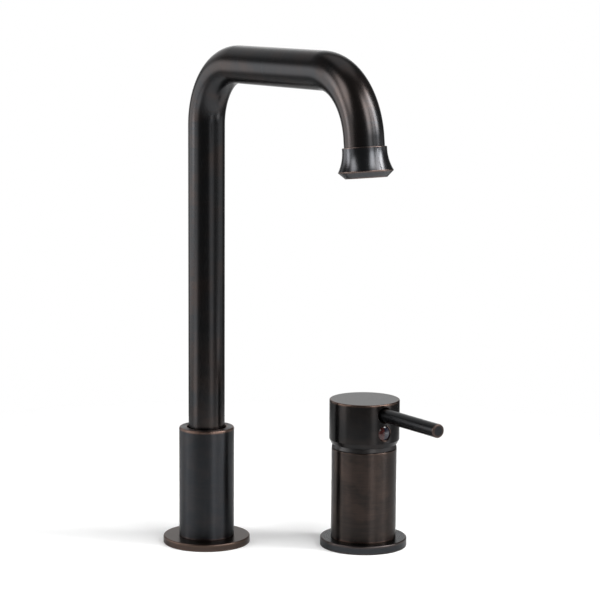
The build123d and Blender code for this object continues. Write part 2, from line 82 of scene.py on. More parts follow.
# Sizes that the boxes don't give
tube_wall = 1.5 * MM
rise_bend_r = 42 * MM
drop_bend_r = 44 * MM
drop_angle = math.radians(83)
outlet_leg = 5.8 * MM
socket_depth = 6 * MM
nozzle_neck_r = 13.75 * MM
nozzle_neck_length = 1.5 * MM
nozzle_lip_r = 17.1 * MM
nozzle_lip_at = 14.8 * MM
nozzle_mouth_r = 12.8 * MM
nozzle_length = 18.8 * MM
nozzle_waterway_r = 10 * MM
aerator_r = 11.9 * MM
aerator_length = 8.4 * MM
aerator_wall = 1.6 * MM
aerator_lip = 1 * MM
aerator_recess = 0.4 * MM
aerator_washer = 1.6 * MM
fixed_gap = 0.05 * MM
collar_mouth_r = 13.65 * MM
collar_bore_r = 13 * MM
mouth_depth = 13 * MM
collar_foot = 15 * MM
screw_rim = 0.45 * MM
screw_rim_depth = 0.35 * MM
screw_point = 0.9 * MM
hexagon_flats = 2.5 * MM
hexagon_depth = 2.6 * MM
flange_seal_r = 26 * MM
flange_seal_t = 1.5 * MM
body_foot = 12 * MM
body_floor = 12 * MM
body_thread_r = 20 * MM
cartridge_r = 17.3 * MM
cartridge_top = 58 * MM
dome_bore_r = 16 * MM
dome_r = 24.5 * MM
dome_foot_r = 22.4 * MM
groove_depth = 1.0 * MM
groove_height = 0.5 * MM
cap_bevel = 3 * MM
cap_lip_r = 22.7 * MM
cap_mouth_r = 22.2 * MM
cap_skirt = 5 * MM
cap_cavity_r = 19 * MM
cap_ceiling = 86.5 * MM
lever_seat_depth = 7 * MM
countersink_r = 5.7 * MM
countersink_depth = 1.6 * MM
countersink_past = 0.4 * MM
plug_sunk = 0.4 * MM
plug_rim = 0.95 * MM
button_shoulder = 0.7 * MM
shank_r = 13.2 * MM
shank_gap = 0.2 * MM
shank_shoulder = 0.8 * MM
thread_pitch = 1.814 * MM
thread_depth = 1.16 * MM
thread_sunk = 0.1 * MM
thread_end = 1.0 * MM
spout_way_r = 6 * MM
spout_port_r = 7.5 * MM
control_way_r = 3.2 * MM
hose_port_r = 4.5 * MM
port_ring_r = 6.9 * MM
port_depth = 12 * MM
port_rim = 0.4 * MM
nut_lead_depth = 0.7 * MM
nut_lead_width = 0.8 * MM
nut_form_past = 0.5 * MM

# Slopes, and shares of a radius. The button's dome is shares of its radius and how far it drops there
drill_slope = 0.6
nut_chamfer_slope = 0.577
nut_face_share = 0.96
button_dome = ((0.86, 0.36 * MM), (0.6, 0.14 * MM), (0.3, 0.03 * MM))

# How far a cutting tool reaches past a flat face, and past a round one
overshoot = 1 * MM
round_overshoot = 3 * MM

# Roundings of edges
hidden_edge = 0.1 * MM
inner_edge = 0.15 * MM
small_edge = 0.2 * MM
plain_edge = 0.25 * MM
foot_edge = 0.3 * MM
eased_edge = 0.35 * MM
nozzle_lip_edge = 0.45 * MM
collar_edge = 1.0 * MM
flange_edge = 0.9 * MM
body_edge = 0.45 * MM
groove_edge = 0.05 * MM
groove_lip_edge = 0.12 * MM
cap_edge = 0.8 * MM
lever_edge = 0.8 * MM
shank_edge = 0.5 * MM

# How far an edge is rubbed down to copper, where it isn't rubbed fully. The copper on outer edges is wear,
# and also a painted highlight that makes the rims look lit
unworn = 0.0
faint_wear = 0.3
hole_wear = 0.4
cap_wear_and_sheen = 0.45
lever_wear = 0.55
countersink_wear = 0.9

# The width beside a rounding over which its wear and painted rim highlight fade
wear_width = 1.1 * MM

# Fineness: the columns round a turned piece, and the steps in roundings, bends and threads
AROUND = 144
collar_steps = 8
cap_steps = 6
bend_steps = 40
flare_steps = 13
crown_steps = 16
thread_steps = 36
taper_steps = 12


# Turned and swept forms


def rounded(outline, steps=5):
    """Rounds the corners of a closed outline.

    A corner is its distance, height and radius, and its copper share where that isn't full: wear, and also a
    painted rim highlight. The result is rows of distance, height, the normal's two parts, the length run so
    far and that share.
    """
    side_share = 0.45
    least_fade = 0.1 * MM
    straight = math.radians(1)
    corners = [(Vector(c[:2]), c[2], c[3] if len(c) > 3 else 1.0) for c in outline]
    turn = sum(
        a.x * b.y - b.x * a.y for (a, _, _), (b, _, _) in zip(corners, corners[1:] + corners[:1])
    )
    if turn < 0:
        corners.reverse()
    rows = []
    count = len(corners)
    for i, (point, radius, rubbed_and_sheen) in enumerate(corners):
        into = point - corners[i - 1][0]
        out = corners[(i + 1) % count][0] - point
        into_length, out_length = into.length, out.length
        room = side_share * min(into_length, out_length)
        into.normalize()
        out.normalize()
        bend = math.atan2(into.x * out.y - into.y * out.x, into.dot(out))
        if abs(bend) < straight:
            rows.append((point.x, point.y, out.y, -out.x, 0.0))
            continue
        reach = min(radius * abs(math.tan(bend / 2)), room)
        real = reach / abs(math.tan(bend / 2))
        start = point - into * reach
        side = Vector((-into.y, into.x)) * (1 if bend > 0 else -1)
        centre = start + side * real
        # Only outer edges take the copper: wear, and a painted rim highlight
        worn_and_sheen = rubbed_and_sheen if bend > 0 and point.x > 0 else 0.0
        fade_in = min(wear_width, side_share * into_length - reach)
        fade_out = min(wear_width, side_share * out_length - reach)
        if worn_and_sheen and fade_in > least_fade:
            before = start - into * fade_in
            rows.append((before.x, before.y, into.y, -into.x, 0.0))
        for k in range(steps + 1):
            angle = bend * k / steps
            c, s = math.cos(angle), math.sin(angle)
            spoke = start - centre
            place = centre + Vector((spoke.x * c - spoke.y * s, spoke.x * s + spoke.y * c))
            way = Vector((into.x * c - into.y * s, into.x * s + into.y * c))
            rows.append((place.x, place.y, way.y, -way.x, worn_and_sheen))
        if worn_and_sheen and fade_out > least_fade:
            after = point + out * (reach + fade_out)
            rows.append((after.x, after.y, out.y, -out.x, 0.0))
    run = 0.0
    done = []
    for i, row in enumerate(rows):
        if i:
            run += math.hypot(row[0] - rows[i - 1][0], row[1] - rows[i - 1][1])
        done.append((*row[:4], run, row[4]))
    return done


def mesh_piece(name, points, faces, normals=None, along=None, wear_and_sheen=None):
    """A new object from its points and faces, smooth, with exact normals and its two surface values."""
    mesh = bpy.data.meshes.new(name)
    mesh.from_pydata([tuple(p) for p in points], [], faces)
    mesh.validate()
    for polygon in mesh.polygons:
        polygon.use_smooth = True
    for title, values in (("along", along), ("wear_and_sheen", wear_and_sheen)):
        if values:
            layer = mesh.attributes.new(title, "FLOAT", "POINT")
            layer.data.foreach_set("value", values)
    if normals:
        mesh.normals_split_custom_set_from_vertices([tuple(n) for n in normals])
    piece = bpy.data.objects.new(name, mesh)
    bpy.context.scene.collection.objects.link(piece)
    return piece


def grid_faces(rows, columns):
    """The four-sided faces of a grid that closes round its rows and its columns."""
    faces = []
    for i in range(rows):
        j = (i + 1) % rows
        for k in range(columns):
            m = (k + 1) % columns
            faces.append((i * columns + k, j * columns + k, j * columns + m, i * columns + m))
    return faces


def lathe(name, outline, place, around=AROUND, steps=5):
    """A solid of revolution about the place's Z axis, from a closed outline with rounded corners."""
    rows = rounded(outline, steps)
    points, normals, along, wear_and_sheen = [], [], [], []
    turn = place.to_3x3()
    ring_of = []
    for distance, height, nr, nz, run, worn_and_sheen in rows:
        if distance < 1e-6:
            ring_of.append((len(points), 1))
            points.append(place @ Vector((0, 0, height)))
            normals.append(turn @ Vector((0, 0, 1 if nz >= 0 else -1)))
            along.append(run)
            wear_and_sheen.append(worn_and_sheen)
            continue
        ring_of.append((len(points), around))
        for k in range(around):
            a = 2 * math.pi * k / around
            c, s = math.cos(a), math.sin(a)
            points.append(place @ Vector((distance * c, distance * s, height)))
            normals.append(turn @ Vector((nr * c, nr * s, nz)))
            along.append(run)
            wear_and_sheen.append(worn_and_sheen)
    faces = []
    for i, (first, count) in enumerate(ring_of):
        second, other = ring_of[(i + 1) % len(ring_of)]
        if count == 1 and other == 1:
            continue
        for k in range(around):
            m = (k + 1) % around
            if count == 1:
                faces.append((first, second + m, second + k))
            elif other == 1:
                faces.append((first + k, first + m, second))
            else:
                faces.append((first + k, first + m, second + m, second + k))
    return mesh_piece(name, points, faces, normals, along, wear_and_sheen)


def placed_at(x, y, z=0.0):
    return Matrix.Translation((x, y, z))


spout_place = placed_at(0, 0)
control_place = placed_at(control_x, control_y)
halves = {"spout": spout_place, "control": control_place}
facing_front = Matrix.Rotation(math.pi / 2, 4, "X")
facing_back = Matrix.Rotation(-math.pi / 2, 4, "X")


def apply_modifiers(piece):
    """Applies the piece's modifiers to its mesh."""
    graph = bpy.context.evaluated_depsgraph_get()
    graph.update()
    mesh = bpy.data.meshes.new_from_object(piece.evaluated_get(graph))
    piece.modifiers.clear()
    piece.data = mesh


def shape_with(piece, tool, operation):
    """Cuts the tool from the piece, or keeps what both fill, and removes the tool."""
    change = piece.modifiers.new("shape", "BOOLEAN")
    change.operation = operation
    change.solver = "EXACT"
    change.object = tool
    apply_modifiers(piece)
    bpy.data.objects.remove(tool)


def refit(piece, *skins):
    """After a cut: gives each corner the exact normal and surface values of the turned form it lies on.

    A skin is its rows, its place, the side it faces, and its copper share (wear and painted rim highlight)
    where that is the same all over.
    """
    near = 0.03 * MM
    facing_limit = 0.8
    mesh = piece.data
    found = [[] for _ in mesh.vertices]
    for rows, place, side, rubbed_and_sheen in skins:
        back = place.inverted()
        turn = place.to_3x3()
        for vertex in mesh.vertices:
            point = back @ vertex.co
            distance = math.hypot(point.x, point.y)
            for i, (r0, z0, nr0, nz0, run0, worn0) in enumerate(rows):
                r1, z1, nr1, nz1, run1, worn1 = rows[(i + 1) % len(rows)]
                if not (min(r0, r1) - near < distance < max(r0, r1) + near):
                    continue
                if not (min(z0, z1) - near < point.z < max(z0, z1) + near):
                    continue
                dr, dz = r1 - r0, z1 - z0
                length = math.hypot(dr, dz)
                ahead = (distance - r0) * dr + (point.z - z0) * dz
                share = ahead / length**2 if length > 1e-9 else 0.0
                share = min(max(share, 0.0), 1.0)
                if math.hypot(distance - r0 - share * dr, point.z - z0 - share * dz) > near:
                    continue
                nr, nz = nr0 + (nr1 - nr0) * share, nz0 + (nz1 - nz0) * share
                flat = Vector((point.x, point.y, 0)).normalized()
                normal = turn @ (Vector((flat.x * nr, flat.y * nr, nz)).normalized() * side)
                worn_and_sheen = worn0 + (worn1 - worn0) * share if rubbed_and_sheen is None else rubbed_and_sheen
                found[vertex.index].append((normal, run0 + (max(run1, run0) - run0) * share, worn_and_sheen))
    normals, along, wear_and_sheen = [], [], []
    for polygon in mesh.polygons:
        polygon.use_smooth = True
        for corner in polygon.vertices:
            best = max(found[corner], key=lambda f: f[0].dot(polygon.normal), default=None)
            if best and best[0].dot(polygon.normal) > facing_limit:
                normals.append(best[0])
                along.append(best[1])
                wear_and_sheen.append(best[2])
            else:
                normals.append(polygon.normal)
                along.append(best[1] if best else 0.0)
                wear_and_sheen.append(0.0)
    for title, values in (("along", along), ("wear_and_sheen", wear_and_sheen)):
        if title in mesh.attributes:
            mesh.attributes.remove(mesh.attributes[title])
        layer = mesh.attributes.new(title, "FLOAT", "CORNER")
        layer.data.foreach_set("value", values)
    mesh.normals_split_custom_set([tuple(n) for n in normals])


def prism(name, sides, across_flats, low, high, place):
    """An upright prism on a regular polygon, given across its flats."""
    corner_r = across_flats / 2 / math.cos(math.pi / sides)
    ring = [
        (corner_r * math.cos(2 * math.pi * k / sides), corner_r * math.sin(2 * math.pi * k / sides))
        for k in range(sides)
    ]
    points = [place @ Vector((x, y, z)) for z in (low, high) for x, y in ring]
    faces = [tuple(reversed(range(sides))), tuple(range(sides, 2 * sides))]
    faces += [(k, (k + 1) % sides, sides + (k + 1) % sides, sides + k) for k in range(sides)]
    return mesh_piece(name, points, faces)


def smooth_by_angle(piece, degrees=30):
    """Shades the faces smooth, with sharp edges where they meet at more than the angle."""
    for polygon in piece.data.polygons:
        polygon.use_smooth = True
    piece.data.set_sharp_from_angle(angle=math.radians(degrees))


# Materials


def material(name):
    """A new node material, its node tree and its shader."""
    made = bpy.data.materials.new(name)
    made.use_nodes = True
    return made, made.node_tree, made.node_tree.nodes["Principled BSDF"]


def feed(tree, socket, value):
    """Joins a socket to another one, or sets its number, vector or colour."""
    if isinstance(value, bpy.types.NodeSocket):
        tree.links.new(value, socket)
    else:
        socket.default_value = (*value, 1) if socket.type == "RGBA" else value


def node(tree, kind, **inputs):
    """Adds a node and feeds its inputs by their names."""
    made = tree.nodes.new(kind)
    for title, value in inputs.items():
        feed(tree, made.inputs[title], value)
    return made


def noise(tree, point, scale=1.0, detail=4.0, roughness=0.5):
    """A noise texture's value at a point."""
    made = node(tree, "ShaderNodeTexNoise", Vector=point, Scale=scale, Detail=detail, Roughness=roughness)
    return made.outputs[0]


def math_node(tree, operation, first, second=0.0, clamp=False):
    made = tree.nodes.new("ShaderNodeMath")
    made.operation = operation
    made.use_clamp = clamp
    feed(tree, made.inputs[0], first)
    feed(tree, made.inputs[1], second)
    return made.outputs[0]


def vector_math(tree, operation, first, second):
    made = tree.nodes.new("ShaderNodeVectorMath")
    made.operation = operation
    feed(tree, made.inputs[0], first)
    feed(tree, made.inputs[1], second)
    return made.outputs["Value" if operation in ("DISTANCE", "DOT_PRODUCT") else "Vector"]


def mixed(tree, share, first, second):
    """The second colour over the first, by its share."""
    made = tree.nodes.new("ShaderNodeMix")
    made.data_type = "RGBA"
    for position, value in ((0, share), (6, first), (7, second)):
        feed(tree, made.inputs[position], value)
    return made.outputs[2]


def ramp(tree, value, low, high, out_low=0.0, out_high=1.0):
    """A smooth step from one output to the other as the value goes from low to high."""
    made = tree.nodes.new("ShaderNodeMapRange")
    made.interpolation_type = "SMOOTHSTEP"
    for socket, number in zip(made.inputs, (value, low, high, out_low, out_high)):
        feed(tree, socket, number)
    return made.outputs[0]


def object_point(tree):
    return tree.nodes.new("ShaderNodeTexCoord").outputs["Object"]


def parts_of(tree, vector):
    return node(tree, "ShaderNodeSeparateXYZ", Vector=vector).outputs


def carried_value(tree, title):
    """One of the two values that a mesh carries: along, its outline's length so far, or the copper edge
    share, which is wear and also a painted rim highlight.
    """
    made = tree.nodes.new("ShaderNodeAttribute")
    made.attribute_name = title
    return made.outputs["Fac"]


def brushed_point(tree, across, along):
    """The point that brushing is drawn from: coarse round the piece, fine along its outline."""
    coarse = vector_math(tree, "MULTIPLY", object_point(tree), (across, across, across))
    run = math_node(tree, "MULTIPLY", carried_value(tree, "along"), along)
    return vector_math(tree, "ADD", coarse, node(tree, "ShaderNodeCombineXYZ", Z=run).outputs[0])


# Copper on the rounded outer edges: worn bronze, and also a painted highlight standing in for the light that
# rims catch
copper_wear_and_sheen = (0.24, 0.15, 0.115)
edge_tint = (0.75, 0.75, 0.75)
streak_share = 0.3
grain_roughness = 0.10
worn_roughness = 0.15
brush_depth = 0.06 * MM
mark_direction = 0.25


def bronze(name, dark, warm, roughness, brushing, warmth, rubbing_and_sheen, turned=0.0, spread=(60, 40)):
    """Dark oil-rubbed bronze: brushed round the piece, with warmer streaks and copper on its edges, which is
    wear and also a painted highlight on the rims.
    """
    made, tree, shader = material(name)
    fine = noise(tree, brushed_point(tree, across=60, along=3500), detail=3.0)
    streak = noise(tree, brushed_point(tree, across=45, along=900), detail=4.0, roughness=0.65)
    patch = noise(tree, brushed_point(tree, *spread), detail=3.0, roughness=0.6)
    narrow = math_node(tree, "MULTIPLY", ramp(tree, streak, 0.35, 0.7), streak_share)
    broad = math_node(tree, "MULTIPLY", ramp(tree, patch, 0.42, 0.66), 1 - streak_share)
    warm_part = math_node(tree, "MULTIPLY", math_node(tree, "ADD", narrow, broad), warmth, clamp=True)
    # The copper edge mask: wear, and a painted highlight on every rounded rim
    uneven = math_node(tree, "MULTIPLY", ramp(tree, patch, 0.25, 0.6, 0.65, 1.0), rubbing_and_sheen)
    rubbed_and_sheen = math_node(tree, "MULTIPLY", carried_value(tree, "wear_and_sheen"), uneven, clamp=True)
    colour = mixed(tree, rubbed_and_sheen, mixed(tree, warm_part, dark, warm), copper_wear_and_sheen)
    feed(tree, shader.inputs["Base Color"], colour)
    feed(tree, shader.inputs["Metallic"], 1.0)
    feed(tree, shader.inputs["Specular Tint"], edge_tint)
    grain = math_node(tree, "MULTIPLY", fine, grain_roughness)
    rough = math_node(tree, "ADD", roughness - grain_roughness / 2, grain)
    rough = math_node(tree, "ADD", rough, math_node(tree, "MULTIPLY", rubbed_and_sheen, worn_roughness))
    feed(tree, shader.inputs["Roughness"], rough)
    if turned:
        # The turning marks run round the piece, so they spread what it reflects up and down
        feed(tree, shader.inputs["Anisotropic"], turned)
        feed(tree, shader.inputs["Anisotropic Rotation"], mark_direction)
        round_way = tree.nodes.new("ShaderNodeTangent")
        round_way.direction_type = "RADIAL"
        round_way.axis = "Z"
        feed(tree, shader.inputs["Tangent"], round_way.outputs[0])
    lines = math_node(tree, "MULTIPLY", streak, 0.4)
    height = math_node(tree, "ADD", math_node(tree, "MULTIPLY", fine, 0.6), lines)
    bump = node(tree, "ShaderNodeBump", Strength=brushing, Distance=brush_depth, Height=height)
    feed(tree, shader.inputs["Normal"], bump.outputs[0])
    return made


def plain(name, colour, other, metallic, roughness, scale, depth=0.03 * MM, strength=0.3, stretch=(1, 1, 1)):
    """A plain finish with its fine variation: turned metal, moulded plastic, rubber or ceramic."""
    roughness_spread = 0.12
    made, tree, shader = material(name)
    point = vector_math(tree, "MULTIPLY", object_point(tree), stretch)
    grain = noise(tree, point, scale, roughness=0.6)
    feed(tree, shader.inputs["Base Color"], mixed(tree, ramp(tree, grain, 0.3, 0.7), colour, other))
    feed(tree, shader.inputs["Metallic"], metallic)
    uneven = math_node(tree, "MULTIPLY", grain, roughness_spread)
    rough = math_node(tree, "ADD", roughness - roughness_spread / 2, uneven)
    feed(tree, shader.inputs["Roughness"], rough)
    bump = node(tree, "ShaderNodeBump", Strength=strength, Distance=depth, Height=grain)
    feed(tree, shader.inputs["Normal"], bump.outputs[0])
    return made


def two_halves(name, left, right, middle, blur, roughness):
    """A glossy enamel with one colour at the left of its middle and another at the right."""
    dark_cloud = (0.004, 0.003, 0.004)
    made, tree, shader = material(name)
    point = object_point(tree)
    cloud = noise(tree, point, 700.0, detail=2.0)
    side = ramp(tree, parts_of(tree, point)[0], middle - blur, middle + blur)
    dimming = ramp(tree, cloud, 0.3, 0.7, 0.0, 0.35)
    feed(tree, shader.inputs["Base Color"], mixed(tree, dimming, mixed(tree, side, left, right), dark_cloud))
    feed(tree, shader.inputs["Roughness"], ramp(tree, cloud, 0.3, 0.7, roughness, 2 * roughness))
    return made


spout_bronze = bronze(
    "spout_bronze", dark=(0.036, 0.038, 0.0405), warm=(0.064, 0.046, 0.039),
    roughness=0.25, brushing=0.2, warmth=0.6, rubbing_and_sheen=0.35, spread=(32, 16),
)
collar_bronze = bronze(
    "collar_bronze", dark=(0.032, 0.034, 0.0375), warm=(0.046, 0.042, 0.042),
    roughness=0.36, brushing=0.3, warmth=0.5, rubbing_and_sheen=0.6, turned=0.9,
)
nozzle_bronze = bronze(
    "nozzle_bronze", dark=(0.058, 0.0605, 0.065), warm=(0.068, 0.063, 0.063),
    roughness=0.22, brushing=0.1, warmth=0.4, rubbing_and_sheen=0.4,
)
control_bronze = bronze(
    "control_bronze", dark=(0.033, 0.0285, 0.027), warm=(0.061, 0.0445, 0.038),
    roughness=0.32, brushing=0.2, warmth=0.8, rubbing_and_sheen=0.3, turned=0.95, spread=(45, 22),
)
dome_bronze = bronze(
    "dome_bronze", dark=(0.050, 0.049, 0.050), warm=(0.066, 0.058, 0.055),
    roughness=0.34, brushing=0.2, warmth=0.5, rubbing_and_sheen=0.5,
)
cap_bronze = bronze(
    "cap_bronze", dark=(0.0225, 0.0225, 0.023), warm=(0.038, 0.0315, 0.029),
    roughness=0.20, brushing=0.15, warmth=0.6, rubbing_and_sheen=0.8,
)
spout_plate_bronze = bronze(
    "spout_plate_bronze", dark=(0.060, 0.045, 0.038), warm=(0.076, 0.055, 0.046),
    roughness=0.30, brushing=0.3, warmth=0.7, rubbing_and_sheen=0.16,
)
control_plate_bronze = bronze(
    "control_plate_bronze", dark=(0.038, 0.0405, 0.044), warm=(0.047, 0.046, 0.047),
    roughness=0.28, brushing=0.3, warmth=0.4, rubbing_and_sheen=0.15,
)
lever_bronze = bronze(
    "lever_bronze", dark=(0.029, 0.030, 0.032), warm=(0.040, 0.0365, 0.0355),
    roughness=0.26, brushing=0.25, warmth=0.4, rubbing_and_sheen=0.5,
)
brass = plain(
    "bare_brass", (0.60, 0.44, 0.22), (0.72, 0.56, 0.30), metallic=1.0, roughness=0.28, scale=900,
    stretch=(1, 1, 5),
)
steel = plain(
    "steel", (0.52, 0.52, 0.53), (0.66, 0.66, 0.67), metallic=1.0, roughness=0.30, scale=900,
    stretch=(1, 1, 4),
)
rubber = plain(
    "black_rubber", (0.020, 0.020, 0.021), (0.034, 0.034, 0.034), metallic=0.0, roughness=0.62, scale=1600,
    depth=0.05 * MM, strength=0.5,
)
white_plastic = plain(
    "white_plastic", (0.74, 0.74, 0.71), (0.80, 0.80, 0.78), metallic=0.0, roughness=0.42, scale=700
)
black_plastic = plain(
    "black_plastic", (0.012, 0.012, 0.013), (0.024, 0.024, 0.025), metallic=0.0, roughness=0.42, scale=1200
)
ceramic = plain(
    "ceramic", (0.80, 0.78, 0.72), (0.87, 0.86, 0.81), metallic=0.0, roughness=0.16, scale=1500,
    depth=0.01 * MM, strength=0.2,
)
index_gloss = two_halves(
    "index_gloss", left=(0.040, 0.008, 0.007), right=(0.006, 0.007, 0.016),
    middle=control_x, blur=0.15 * MM, roughness=0.05,
)

# Every carried-over piece takes the finish of its slot
finish_of = {
    "dark_bronze": spout_bronze,
    "bare_brass": brass,
    "steel": steel,
    "black_rubber": rubber,
    "white_plastic": white_plastic,
    "black_plastic": black_plastic,
    "ceramic": ceramic,
    "index_gloss": index_gloss,
}
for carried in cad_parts.values():
    slot_name = carried.data.materials[0].name.split(".")[0]
    carried.data.materials.clear()
    carried.data.materials.append(finish_of[slot_name])
    smooth_by_angle(carried)


def settle(piece, look, body, slot, *nodes):
    """Gives a piece its look and its body, and hides the solids it stands for. Its slot is not used."""
    piece.data.materials.append(look)
    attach(piece, body)
    if nodes:
        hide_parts(*nodes)


# Spout tube: the route runs up, over the first bend, along the arm and down the second bend.
# A station is its reach to the front, its height and the route's angle from upright.
arm_height = tube_high.z - tube_r
tail = outlet_leg + socket_depth
end_reach = tail * math.cos(drop_angle) + tube_r * math.sin(drop_angle)
arm_length = -tube_low.y - rise_bend_r - drop_bend_r * math.sin(drop_angle) - end_reach
stations = [(0.0, tube_low.z, 0.0), (0.0, arm_height - rise_bend_r, 0.0)]
for k in range(1, bend_steps + 1):
    a = math.pi / 2 * k / bend_steps
    stations.append((rise_bend_r * (1 - math.cos(a)), arm_height - rise_bend_r * (1 - math.sin(a)), a))
for k in range(bend_steps + 1):
    a = drop_angle * k / bend_steps
    reach = rise_bend_r + arm_length + drop_bend_r * math.sin(a)
    stations.append((reach, arm_height - drop_bend_r * (1 - math.cos(a)), math.pi / 2 + a))
last_reach, last_height, last_angle = stations[-1]
outlet_way = Vector((0, -math.sin(last_angle), math.cos(last_angle)))
last_reach += tail * math.sin(last_angle)
last_height += tail * math.cos(last_angle)
stations.append((last_reach, last_height, last_angle))


def bent_tube(name, stations, outer_r, inner_r):
    """A bent tube: its outside and its bore, joined at both ends."""
    columns = AROUND // 2
    runs = [0.0]
    for (reach, height, _), (next_reach, next_height, _) in zip(stations, stations[1:]):
        runs.append(runs[-1] + math.hypot(next_reach - reach, next_height - height))
    outside = [(i, outer_r, 1) for i in range(len(stations))]
    bore = [(i, inner_r, -1) for i in reversed(range(len(stations)))]
    side = Vector((1, 0, 0))
    points, normals, along = [], [], []
    for i, radius, sign in outside + bore:
        reach, height, angle = stations[i]
        up = Vector((0, -math.sin(angle), math.cos(angle))).cross(side)
        centre = Vector((0, -reach, height))
        for k in range(columns):
            a = 2 * math.pi * k / columns
            spoke = side * math.cos(a) + up * math.sin(a)
            points.append(centre + spoke * radius)
            normals.append(spoke * sign)
            along.append(runs[i])
    faces = [tuple(reversed(f)) for f in grid_faces(2 * len(stations), columns)]
    return mesh_piece(name, points, faces, normals, along, [unworn] * len(points))


tube = bent_tube("tube", stations, tube_r, tube_r - tube_wall)
settle(tube, spout_bronze, "spout", "dark_bronze", "spout_tube")

# Nozzle: turned about the outlet's own axis, which starts at its top edge
tube_end = Vector((0, -stations[-1][0], stations[-1][1]))
seam = tube_end - outlet_way * socket_depth
outlet_place = Matrix.Translation(seam) @ outlet_way.to_track_quat("Z", "X").to_matrix().to_4x4()
washer_seat = nozzle_length - aerator_recess - aerator_length - aerator_washer
flare_in = nozzle_lip_r - nozzle_neck_r
flare_run = nozzle_lip_at - nozzle_neck_length
flare_r = (flare_run**2 + flare_in**2) / (2 * flare_in)
flare = []
for k in range(1, flare_steps + 1):
    a = math.asin(flare_run / flare_r) * k / flare_steps
    rounding = nozzle_lip_edge if k == flare_steps else 0
    reach = nozzle_neck_r + flare_r * (1 - math.cos(a))
    flare.append((reach, nozzle_neck_length + flare_r * math.sin(a), rounding))
nozzle = lathe(
    "nozzle",
    [
        (tube_r + fixed_gap, 0, inner_edge),
        (tube_r + fixed_gap, socket_depth, hidden_edge),
        (nozzle_waterway_r, socket_depth, hidden_edge),
        (nozzle_waterway_r, washer_seat, hidden_edge),
        (aerator_r + fixed_gap, washer_seat, hidden_edge),
        (aerator_r + fixed_gap, nozzle_length, inner_edge),
        (nozzle_mouth_r, nozzle_length, plain_edge),
        *reversed(flare),
        (nozzle_neck_r, nozzle_neck_length, 0),
        (nozzle_neck_r, 0, eased_edge),
    ],
    outlet_place,
)
settle(nozzle, nozzle_bronze, "spout", "dark_bronze", "spout_nozzle")

# Aerator housing: a ring with a lip inside its mouth
aerator_low = nozzle_length - aerator_recess
aerator_top = aerator_low - aerator_length
aerator_bore_r = aerator_r - aerator_wall
housing = lathe(
    "aerator_ring",
    [
        (aerator_r, aerator_top, small_edge),
        (aerator_r, aerator_low, foot_edge),
        (aerator_bore_r - aerator_lip, aerator_low, plain_edge),
        (aerator_bore_r - aerator_lip, aerator_low - aerator_lip, inner_edge),
        (aerator_bore_r, aerator_low - aerator_lip, hidden_edge),
        (aerator_bore_r, aerator_top, small_edge),
    ],
    outlet_place,
)
settle(housing, white_plastic, "spout", "white_plastic", "aerator_housing")

# Collar: rounded at its rim, with a stepped mouth and the stop screw's hole at the back
collar_outline = [
    (shank_r + fixed_gap, collar_low.z, hidden_edge),
    (collar_r, collar_low.z, eased_edge, faint_wear),
    (collar_r, collar_high.z, collar_edge),
    (collar_mouth_r, collar_high.z, eased_edge),
    (collar_mouth_r, collar_high.z - mouth_depth, hidden_edge),
    (collar_bore_r, collar_high.z - mouth_depth, hidden_edge),
    (collar_bore_r, collar_low.z + collar_foot, hidden_edge),
    (shank_r + fixed_gap, collar_low.z + collar_foot, hidden_edge),
]
collar = lathe("collar", collar_outline, spout_place, steps=collar_steps)
screw_place = placed_at(0, 0, screw_middle.z) @ facing_back
rim_start = collar_r - screw_rim_depth
screw_hole = [
    (0, collar_bore_r - round_overshoot, 0),
    (screw_r + fixed_gap, collar_bore_r - round_overshoot, 0),
    (screw_r + fixed_gap, rim_start, 0),
    (screw_r + screw_rim, rim_start + screw_rim - fixed_gap, 0),
    (screw_r + screw_rim, collar_r + round_overshoot, 0),
    (0, collar_r + round_overshoot, 0),
]
shape_with(collar, lathe("screw_way", screw_hole, screw_place, around=48), "DIFFERENCE")
refit(
    collar,
    (rounded(collar_outline, collar_steps), spout_place, 1, None),
    (rounded(screw_hole), screw_place, -1, hole_wear),
)
settle(collar, collar_bronze, "base", "dark_bronze", "spout_collar")

# Stop screw: a grub screw with a hexagon socket, below the collar's surface at the back
stop_screw = lathe(
    "stop_screw",
    [
        (0, screw_low.y, 0),
        (screw_r - screw_point, screw_low.y, hidden_edge),
        (screw_r, screw_low.y + screw_point, hidden_edge),
        (screw_r, screw_high.y, eased_edge),
        (0, screw_high.y, 0),
    ],
    screw_place,
    around=48,
)
hexagon = prism(
    "socket", 6, hexagon_flats, screw_high.y - hexagon_depth, screw_high.y + overshoot, screw_place
)
shape_with(stop_screw, hexagon, "DIFFERENCE")
smooth_by_angle(stop_screw)
settle(stop_screw, steel, "base", "steel", "swivel_stop_screw")

# Flanges: a rounded upper edge, and the seal's recess below
plate_looks = {"spout": spout_plate_bronze, "control": control_plate_bronze}
for half, place in halves.items():
    plate_low, plate_high, _ = size_of(f"{half}_flange")
    flange = lathe(
        f"{half}_base_plate",
        [
            (shank_r + shank_gap, plate_low.z + flange_seal_t, hidden_edge),
            (flange_seal_r, plate_low.z + flange_seal_t, hidden_edge),
            (flange_seal_r, plate_low.z, inner_edge),
            (flange_r, plate_low.z, foot_edge),
            (flange_r, plate_high.z, flange_edge),
            (shank_r + shank_gap, plate_high.z, hidden_edge),
        ],
        place,
        steps=6,
    )
    settle(flange, plate_looks[half], "base", "dark_bronze", f"{half}_flange")

